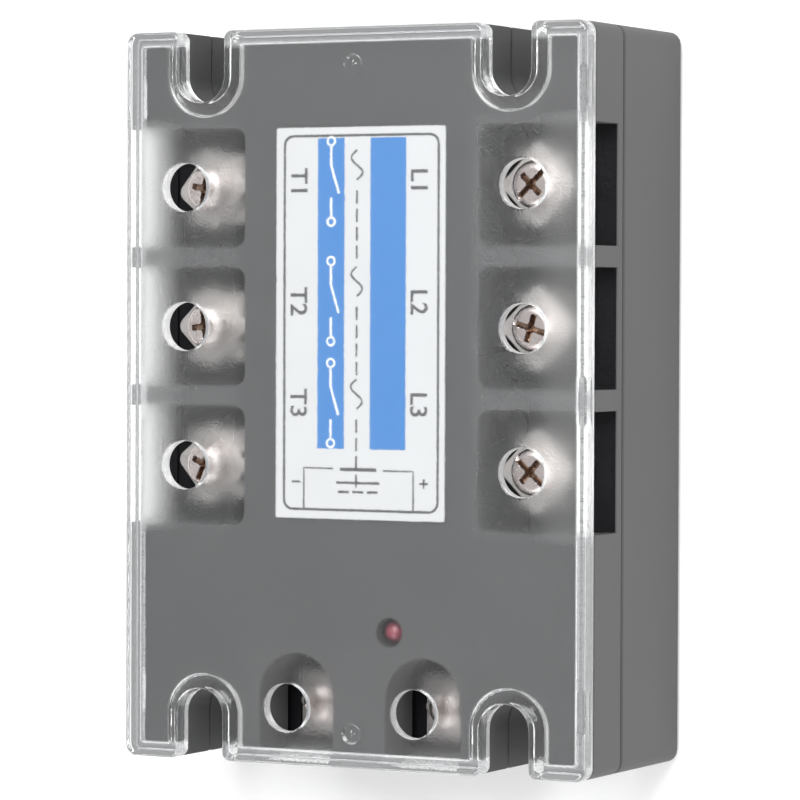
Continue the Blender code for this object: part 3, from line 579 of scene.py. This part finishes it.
def make_cover():
    """Carry the profile round the cover's edge, then fill its top and underside round the holes."""
    share = rim_share()[:, None]
    rings = []
    for row, (slot_in, slot_z, edge_in, edge_z) in enumerate(cover_profile()):
        loop = cover_loop(slot_in) * (1.0 - share) + cover_loop(edge_in) * share
        if row in INNER_ROWS + OUTER_ROWS:
            inwards = cover_loop(slot_in + 1.0) - cover_loop(slot_in)
            inwards /= np.maximum(np.hypot(*inwards.T)[:, None], 1e-6)
            loop = loop + inwards * ripple(loop, 0.9 * row)[:, None]
            if row == CLIP_ROW:
                loop = loop + inwards * CLIP_DEPTH * clip_share(loop)[:, None]
        height = slot_z * (1.0 - share) + edge_z * share
        rings.append(np.column_stack([loop, height]))
    surfaces = [surface(np.array(rings))]
    under = COVER_TOP - PLATE
    openings = []
    for kind, radius in (("power", POWER_HOLE), ("input", INPUT_HOLE)):
        for label in labels(f"{kind}_screw_"):
            low, high = box_mm(f"{kind}_clamp_{label}")
            openings.append(((low + high)[0] / 2.0, (low + high)[1] / 2.0, radius))
    tops, unders = [rings[-1][:, :2]], [rings[0][:, :2]]
    for x, y, radius in openings:
        profile = [(radius + 0.38, COVER_TOP), (radius + 0.22, COVER_TOP), (radius + 0.07, COVER_TOP - 0.06),
                   (radius, COVER_TOP - 0.22), (radius, (COVER_TOP + under) / 2.0), (radius, under + 0.15),
                   (radius + 0.05, under + 0.04), (radius + 0.15, under), (radius + 0.3, under)]
        surfaces.append(surface(turned(x, y, profile)))
        tops.append(circle(x, y, radius + 0.38))
        unders.append(circle(x, y, radius + 0.3))
    for x, y in GATES:
        surfaces.append(surface(gate_mark(x, y)))
        tops.append(circle(x, y, GATE_RADIUS + 0.15))
    surfaces.append(flat_fill(tops, COVER_TOP))
    surfaces.append(flat_fill(unders, under))
    cover = mesh_piece("terminal_cover", surfaces, 25.0)
    mark_points(cover, "milky", haze_at, openings)
    dress(cover, "cover", CLEAR, ["clear_cover"])


def haze_at(points, openings):
    """How milky the cover is at each point: full on hole walls, less on its rims, none on its faces."""
    x, y, z = points.T
    below_top = np.clip((COVER_TOP - 0.05 - z) / 0.3, 0.0, 1.0)
    walls = np.zeros(len(points))
    for hole_x, hole_y, radius in openings:
        walls = np.maximum(walls, np.hypot(x - hole_x, y - hole_y) < radius + 0.06)
    edge = np.minimum(HALF_WIDTH - np.abs(x), HALF_LENGTH - np.abs(y))
    inner_face = (np.abs(edge - RIM) < 0.2) * (z < COVER_TOP - PLATE - 0.05)
    foot = (edge < RIM + 0.2) * (z < COVER_BOTTOM + RABBET + 0.2)
    rims = np.maximum(inner_face * 0.3, foot * 0.2)
    return walls * below_top * 0.4 + rims * (walls < 0.5)


def gate_mark(x, y):
    """A broken-off moulding gate: a dished ring round a ragged stub, all below the face."""
    outside = [GATE_RADIUS + 0.15, GATE_RADIUS]
    radius = np.concatenate([outside, np.linspace(GATE_RADIUS - 0.12, 0.0, 12)])[:, None]
    angle = np.linspace(0.0, 2.0 * np.pi, 48, endpoint=False)[None, :]
    stub = 0.2 * np.exp(-((radius / 0.55) ** 2)) * (1.0 + 0.4 * np.sin(3.0 * angle + 1.0))
    dish = 0.34 * np.clip((GATE_RADIUS - radius) / 0.35, 0.0, 1.0)
    rough = 0.03 * np.sin(5.0 * angle + 6.0 * radius) * np.clip(GATE_RADIUS - radius, 0.0, 1.0) * radius
    height = np.broadcast_to(COVER_TOP - dish + stub + rough, (len(radius), 48))
    return np.stack([x + radius * np.cos(angle), y + radius * np.sin(angle), height], -1)


# ------------------------------------------------------------------ screws

def screw_surface(kind, low, x, y, turn):
    """Pan head with a slot and a cross recess over a threaded shank, as rings of points.

    Each ring has a radius and a height that both depend on the angle: the head's
    height drops to the recess floor inside a slot and a shorter cross bar, and the
    shank's radius follows a triangle wave of height over pitch minus angle.
    """
    head, high, shank, pitch, length = SCREWS[kind]
    seat = low + length
    count = 144
    angle = np.linspace(0.0, 2.0 * np.pi, count, endpoint=False)[None, :]
    flat = head * 0.62
    bend = np.radians(np.linspace(0.0, 90.0, 14))[1:]
    radius = np.concatenate([np.linspace(0.0, flat, 26), flat + (head - flat) * np.sin(bend)])[:, None]
    dome = np.concatenate([np.full(26, high), high - high * 0.62 * (1.0 - np.cos(bend))])[:, None]
    u = radius * np.cos(angle)
    v = radius * np.sin(angle)
    half = head * 0.115
    wall = head * 0.035
    slot = np.clip((half - np.abs(v)) / wall, 0.0, 1.0)
    arms = np.clip((half * 1.1 - np.abs(u)) / wall, 0.0, 1.0)
    arms = arms * np.clip((head * 0.58 - np.abs(v)) / wall, 0.0, 1.0)
    core = np.clip((head * 0.3 - np.abs(u) - np.abs(v)) / wall, 0.0, 1.0)
    floor = high * (1.0 - 0.42 * slot)
    floor = np.minimum(floor, high * (1.0 - (0.5 - 0.25 * np.abs(v) / head) * arms))
    floor = np.minimum(floor, high * (1.0 - 0.68 * core))
    top = np.minimum(np.broadcast_to(dome, floor.shape), floor - 0.012 * (radius / head) ** 2)
    rows = [(radius * np.ones_like(angle), top)]
    edge = [(head, high * 0.2), (head, 0.12), (head - 0.12, 0.0), (shank + 0.1, 0.0), (shank, -0.1)]
    for ring, height in edge:
        rows.append((np.full((1, count), ring), np.full((1, count), height)))
    down = np.linspace(-0.3, -length + 0.7, int(length / pitch * 8))[:, None]
    wave = np.abs(((down / pitch - angle / (2.0 * np.pi)) % 1.0) * 2.0 - 1.0)
    start = np.clip((-down - 0.3) / 0.8, 0.0, 1.0)
    rows.append((shank - 0.32 * (shank / 2.0) * wave * start, down * np.ones_like(angle)))
    for ring, height in ((shank - 0.45, -length + 0.25), (shank - 0.8, -length), (0.0, -length)):
        rows.append((np.full((1, count), ring), np.full((1, count), height)))
    radius = np.concatenate([r for r, _ in rows])
    height = np.concatenate([h for _, h in rows])
    round_about = angle + math.radians(turn)
    points = [x + radius * np.cos(round_about), y + radius * np.sin(round_about), seat + height]
    return np.stack(points, -1)


def mark_points(piece, name, share_at, *about):
    """Store a number at each point of a piece: what share_at gives for the points in millimetres."""
    points = np.empty(len(piece.data.vertices) * 3, np.float32)
    piece.data.vertices.foreach_get("co", points)
    shares = share_at(points.reshape(-1, 3).astype(float) / MM, *about)
    piece.data.attributes.new(name, "FLOAT", "POINT").data.foreach_set("value", shares.astype(np.float32))


def distance_from(points, x, y):
    """How far each point is from the upright axis at (x, y)."""
    return np.hypot(points[:, 0] - x, points[:, 1] - y)


def recess_shade_share(points, x, y, seat, head, high):
    """Share of painted shade: 1 well below a screw's dome inside its recess, 0 on the dome and outside it."""
    away = distance_from(points, x, y)
    bend = np.sqrt(np.clip(1.0 - ((away - head * 0.62) / (head * 0.38)) ** 2, 0.0, 1.0))
    dome = np.where(away < head * 0.62, high, high - high * 0.62 * (1.0 - bend))
    below = seat + dome - points[:, 2]
    return np.clip((below - 0.12) / 0.5, 0.0, 1.0) * (away < head * 0.8) * (points[:, 2] > seat + 0.3)


def clamp_rings(kind, low, x, y, turn):
    """Square plate with round corners, soft edges and a hole, as rings from the hole round and back."""
    side, thick, hole, corner = CLAMPS[kind]
    high = low + thick
    soft = 0.22
    count = 15
    angle = math.radians(45.0 + turn)
    spin = np.array([[math.cos(angle), math.sin(angle)], [-math.sin(angle), math.cos(angle)]])

    def square(inset):
        return rounded_box(inset - side / 2, inset - side / 2, side / 2 - inset, side / 2 - inset,
                           corner - inset, count)

    def round_hole(radius):
        outline = square(0.0)
        return outline / np.hypot(*outline.T)[:, None] * radius

    rows = [(round_hole(hole), low + 0.1), (round_hole(hole), high - 0.1),
            (round_hole(hole + 0.03), high - 0.03), (round_hole(hole + 0.1), high),
            (round_hole(hole + 0.2), high), (square(soft + 0.1), high)]
    rows += [(square(inset), high - drop) for inset, drop in fillet(soft)[::-1]]
    rows += [(square(inset), low + drop) for inset, drop in fillet(soft * 0.5)]
    rows += [(square(soft * 0.5 + 0.1), low), (round_hole(hole + 0.2), low), (round_hole(hole + 0.1), low),
             (round_hole(hole), low + 0.1)]
    rings = [np.column_stack([outline @ spin + (x, y), np.full(len(outline), z)]) for outline, z in rows]
    return np.stack(rings)


def make_fasteners():
    """Screws, clamp plates, terminals and nuts, each on the axis of its own nut."""
    for kind, (head, head_height, _, _, length) in SCREWS.items():
        for label in labels(f"{kind}_screw_"):
            low, high = box_mm(f"{kind}_nut_{label}")
            x, y = ((low + high) / 2.0)[:2]
            node = f"{kind}_screw_{label}"
            tip = box_mm(node)[0][2]
            rings = screw_surface(kind, tip, x, y, SCREW_TURNS[label])
            screw = mesh_piece(f"{node}_threaded", [surface(rings)], 40.0, 1e-6)
            mark_points(screw, "from_axis", distance_from, x, y)
            # marks how deep each point lies in the head's recess, for the painted shade there
            mark_points(screw, "hollow", recess_shade_share, x, y, tip + length, head, head_height)
            dress(screw, node, NICKEL, [node])
            node = f"{kind}_clamp_{label}"
            rings = clamp_rings(kind, box_mm(node)[0][2], x, y, CLAMP_TURNS.get(label, 0))
            clamp = mesh_piece(f"{node}_plate", [surface(rings)], 40.0, 1e-6)
            mark_points(clamp, "from_axis", distance_from, x, y)
            dress(clamp, node, STAMPED_AND_SHADED, [node])
            for part in ("terminal", "nut"):
                node = f"{kind}_{part}_{label}"
                piece = refined(node, f"{node}_plated", 0.1, True)
                mark_points(piece, "from_axis", distance_from, x, y)
                dress(piece, "housing", STAMPED_AND_SHADED, [node])


# ------------------------------------------------------------------ rating label

def slab(outline, low, high):
    """An upright wall round an outline, closed by level faces."""
    rings = np.stack([np.column_stack([outline, np.full(len(outline), z)]) for z in (low, high)])
    return [surface(rings), flat_fill([outline], low), flat_fill([outline], high)]


def rounded_box(low_x, low_y, high_x, high_y, radius, count=7):
    """A rectangle's outline with a quarter circle at each corner."""
    parts = ((high_x, high_y, 0), (low_x, high_y, 90), (low_x, low_y, 180), (high_x, low_y, 270))
    middle_x, middle_y = (low_x + high_x) / 2.0, (low_y + high_y) / 2.0
    rows = [arc(x - math.copysign(radius, x - middle_x), y - math.copysign(radius, y - middle_y),
                radius, start, start + 90, count) for x, y, start in parts]
    return np.concatenate(rows)


def stroke(path, width, closed=False):
    """A ribbon of one width along a path of (x, y) points: left and right edge of each point."""
    path = np.asarray(path, float)
    if closed:
        path = np.concatenate([path[-1:], path, path[:2]])
    ahead = np.gradient(path, axis=0)
    ahead /= np.maximum(np.hypot(*ahead.T)[:, None], 1e-9)
    aside = np.column_stack([-ahead[:, 1], ahead[:, 0]]) * width / 2.0
    if closed:
        path, aside = path[1:-1], aside[1:-1]
    return path, aside


def inked(path, width, closed=False):
    """A stroke raised to the thickness of the ink, as a closed tube of four edges."""
    path, aside = stroke(path, width, closed)
    low, high = FILM_HIGH[2] - 0.01, FILM_HIGH[2] + INK
    corners = [(path - aside, low), (path + aside, low), (path + aside, high), (path - aside, high)]
    rings = np.stack([np.column_stack([p, np.full(len(p), z)]) for p, z in corners], 1)
    parts = [surface(rings)]
    if not closed:
        parts.append((np.concatenate([rings[0], rings[-1]]), [[3, 2, 1, 0], [4, 5, 6, 7]]))
    return parts


def written(text, x, y, size, turn):
    """Letters of the built-in plain font as a solid of the ink's thickness."""
    curve = bpy.data.curves.new("letters", "FONT")
    curve.body = text
    curve.size = size * MM
    curve.extrude = INK * MM / 2.0
    curve.offset = 0.05 * MM
    curve.align_x = "CENTER"
    curve.align_y = "CENTER"
    curve.resolution_u = 4
    lettering = bpy.data.objects.new("letters", curve)
    bpy.context.scene.collection.objects.link(lettering)
    bpy.context.view_layer.update()
    mesh = bpy.data.meshes.new_from_object(lettering.evaluated_get(bpy.context.evaluated_depsgraph_get()))
    bpy.data.objects.remove(lettering)
    points = np.empty(len(mesh.vertices) * 3, np.float32)
    mesh.vertices.foreach_get("co", points)
    points = points.reshape(-1, 3) / MM
    angle = math.radians(turn)
    placed = np.column_stack([
        x + points[:, 0] * math.cos(angle) - points[:, 1] * math.sin(angle),
        y + points[:, 0] * math.sin(angle) + points[:, 1] * math.cos(angle),
        FILM_HIGH[2] + INK / 2.0 + points[:, 2],
    ])
    faces = [list(polygon.vertices) for polygon in mesh.polygons]
    return [(placed, faces)]


def wave(x, y, length, height):
    """One cycle of alternating current, running down the label."""
    run = np.linspace(-0.5, 0.5, 15)
    return np.column_stack([x + height * np.sin(run * 2.0 * np.pi), y - run * length])


def make_label():
    """The film with its blue bands, dark print and pale switch symbols, each raised by the ink."""
    outline = rounded_box(*FILM_LOW[:2], *FILM_HIGH[:2], 0.35)
    film = mesh_piece("rating_label_film", slab(outline, FILM_LOW[2], FILM_HIGH[2]))
    dress(film, "housing", FILM, ["rating_label"])
    top = FILM_HIGH[2]

    bands = []
    for corners in BANDS:
        bands += slab(rounded_box(*corners, 0.05, 3), top - 0.01, top + INK)
    dress(mesh_piece("label_blue_bands", bands), "housing", BLUE_INK)

    dark = inked(rounded_box(*FRAME, 1.4), 0.36, True)
    dark += inked([(-8.75, -15.9), (-8.75, -10.1), (-4.0, -10.1)], 0.26)
    dark += inked([(4.0, -10.3), (8.83, -10.3), (8.83, -15.9)], 0.26)
    for column, prefix in LETTER_COLUMNS:
        for phase, y in enumerate(PHASE_ROWS, 1):
            dark += written(f"{prefix}{phase}", column, y, LETTER_SIZE, -90.0)
    dark += inked([(-10.7, -12.1), (-9.3, -12.1)], 0.3)
    dark += inked([(9.8, -12.0), (11.2, -12.0)], 0.3)
    dark += inked([(10.5, -11.3), (10.5, -12.7)], 0.3)
    for y, parts in SUPPLY_ROWS:
        step = 7.0 / parts
        gap = 0.3 * (parts > 1)
        for part in range(parts):
            start = -3.5 + part * step
            dark += inked([(start + gap, y), (start + step - gap, y)], 0.34)
    dark += inked([(-2.9, -10.2), (2.9, -10.2)], 0.5)
    for y in WAVE_ROWS:
        dark += inked(wave(WAVE_X, y, 4.2, 0.9), 0.3)
        for step in range(4):
            dark += inked([(WAVE_X, y - 3.6 - 2.6 * step), (WAVE_X, y - 5.5 - 2.6 * step)], 0.3)
    dress(mesh_piece("label_dark_print", dark), "housing", DARK_INK)

    pale = []
    for y in PHASE_ROWS:
        pale += inked([(SWITCH_X, y + 5.2), (SWITCH_X, y + 2.4)], 0.34)
        pale += inked([(SWITCH_X, y + 2.4), (SWITCH_X + 1.25, y - 1.6)], 0.34)
        pale += inked([(SWITCH_X, y - 2.2), (SWITCH_X, y - 5.0)], 0.34)
        pale += inked(circle(SWITCH_X, y + 5.8, 0.6, 16), 0.3, True)
        pale += inked(circle(SWITCH_X, y - 5.6, 0.6, 16), 0.3, True)
    pale = [(np.column_stack([p[:, :2], p[:, 2] + INK]), f) for p, f in pale]
    dress(mesh_piece("label_pale_print", pale), "housing", WHITE_INK)


# ------------------------------------------------------------------ status light

def make_status_light():
    """A domed lens with a flange, turned from its profile, on two round leads."""
    low, high = box_mm("status_led")
    x, y = ((low + high) / 2.0)[:2]
    top = high[2]
    tip = np.radians(np.linspace(0.0, 90.0, 12))
    dome = [(LENS_RADIUS * math.sin(a), top - LENS_RADIUS + LENS_RADIUS * math.cos(a)) for a in tip]
    foot = top - LENS_LENGTH
    profile = dome + [(LENS_RADIUS, foot + 0.95), (LENS_RADIUS + 0.08, foot + 0.82),
                      (FLANGE_RADIUS - 0.08, foot + 0.8), (FLANGE_RADIUS, foot + 0.72),
                      (FLANGE_RADIUS, foot + 0.1), (FLANGE_RADIUS - 0.1, foot), (0.0, foot)]
    lens = mesh_piece("status_led_lens", [surface(turned(x, y, profile, 40))], 35.0, 1e-6)
    dress(lens, "housing", LENS, ["status_led"])
    for side, name in ((-1, "cathode"), (1, "anode")):
        lead_x = x + side * LEAD_SPACING
        profile = [(0.0, foot), (0.3, foot), (0.3, foot - 1.0), (0.24, foot - 1.3), (0.24, low[2] + 0.1),
                   (0.14, low[2]), (0.0, low[2])]
        lead = mesh_piece(f"status_led_{name}", [surface(turned(lead_x, y, profile, 8))], 50.0, 1e-6)
        dress(lead, "housing", ZINC)


# ------------------------------------------------------------------ housing and inner parts

def make_housing():
    """The mouldings, base and board with rounded edges, and a black sheet over each pocket's sill as painted
    shade in the pockets' side openings.
    """
    for node, name, width, paint, slot in (
        ("lower_housing", "lower_housing_moulding", 0.16, GREY, "housing_plastic"),
        ("upper_housing", "upper_housing_moulding", 0.14, GREY, "housing_plastic"),
        ("base_plate", "base_plate_milled", 0.05, ALUMINIUM, "base_metal"),
        ("control_board", "control_board_cut", 0.08, BOARD, "circuit_board"),
    ):
        dress(refined(node, name, width), "housing", paint, [node])
    # painted shade: a thin black slab on each power pocket's sill darkens what shows through the side
    # openings
    shade_sheets = []
    for label in labels("power_nut_"):
        low, high = box_mm(f"power_nut_{label}")
        x, y = ((low + high) / 2.0)[:2]
        ends = sorted((math.copysign(SILL_INNER, x), math.copysign(HALF_WIDTH - 0.2, x)))
        outline = rounded_box(ends[0], y - POCKET_HALF + 0.05, ends[1], y + POCKET_HALF - 0.05, 0.1, 3)
        shade_sheets += slab(outline, SILL_Z - 0.25, SILL_Z + 0.06)
    dress(mesh_piece("potting_on_sills", shade_sheets), "housing", EPOXY_AND_SHADE)


def dress_inner_parts():
    """Give the CAD nodes that are kept as they are a finish of their own."""
    for prefix, paint in (
        ("potting_", EPOXY_AND_SHADE),
        ("base_screw_", ZINC),
        ("optocoupler_", WHITE_BODY),
        ("snubber_capacitor_", YELLOW_BODY),
        ("gate_resistor_", BLUE_BODY),
        ("power_module_", CERAMIC),
    ):
        for label in labels(prefix):
            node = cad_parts[prefix + label]
            node.data.materials.clear()
            node.data.materials.append(paint)


# ------------------------------------------------------------------ stage

def area_light(name, place, size, power):
    """A rectangular lamp that faces the relay."""
    lamp = bpy.data.lights.new(name, "AREA")
    lamp.shape = "RECTANGLE"
    lamp.size, lamp.size_y = size
    lamp.energy = power
    light = bpy.data.objects.new(name, lamp)
    light.location = place
    light.rotation_euler = (Vector(AIM) - Vector(place)).to_track_quat("-Z", "Y").to_euler()
    bpy.context.scene.collection.objects.link(light)


def make_stage():
    signs = ((-1, -1), (1, -1), (1, 1), (-1, 1))
    corners = [(FLOOR_HALF * x, FLOOR_HALF * y, FLOOR_LEVEL) for x, y in signs]
    mesh = bpy.data.meshes.new("floor")
    mesh.from_pydata(corners, [], [(0, 1, 2, 3)])
    floor = bpy.data.objects.new("floor", mesh)
    bpy.context.scene.collection.objects.link(floor)
    paper = mottled("floor_paper", (0.95, 0.95, 0.95), (0.97, 0.97, 0.97), 0.7, 60.0, 0.02)
    mesh.materials.append(paper)

    world = bpy.data.worlds.new("studio")
    world.use_nodes = True
    background = world.node_tree.nodes["Background"]
    background.inputs["Color"].default_value = (1.0, 1.0, 1.0, 1.0)
    background.inputs["Strength"].default_value = WORLD_STRENGTH
    bpy.context.scene.world = world
    for softbox in SOFTBOXES:
        area_light(*softbox)


def make_camera():
    camera = bpy.data.cameras.new("camera")
    camera.sensor_width = 36.0
    camera.lens = 188.874
    camera.clip_start = 0.05
    camera.clip_end = 20.0
    viewer = bpy.data.objects.new("camera", camera)
    viewer.location = (0.281002, 0.012858, 0.553775)
    viewer.rotation_euler = [math.radians(a) for a in (-1.1607, 27.6129, 0.2267)]
    bpy.context.scene.collection.objects.link(viewer)
    bpy.context.scene.camera = viewer
    bpy.context.scene.view_settings.view_transform = "Standard"


make_camera()
make_stage()
make_housing()
dress_inner_parts()
make_status_light()
make_fasteners()
make_label()
make_cover()
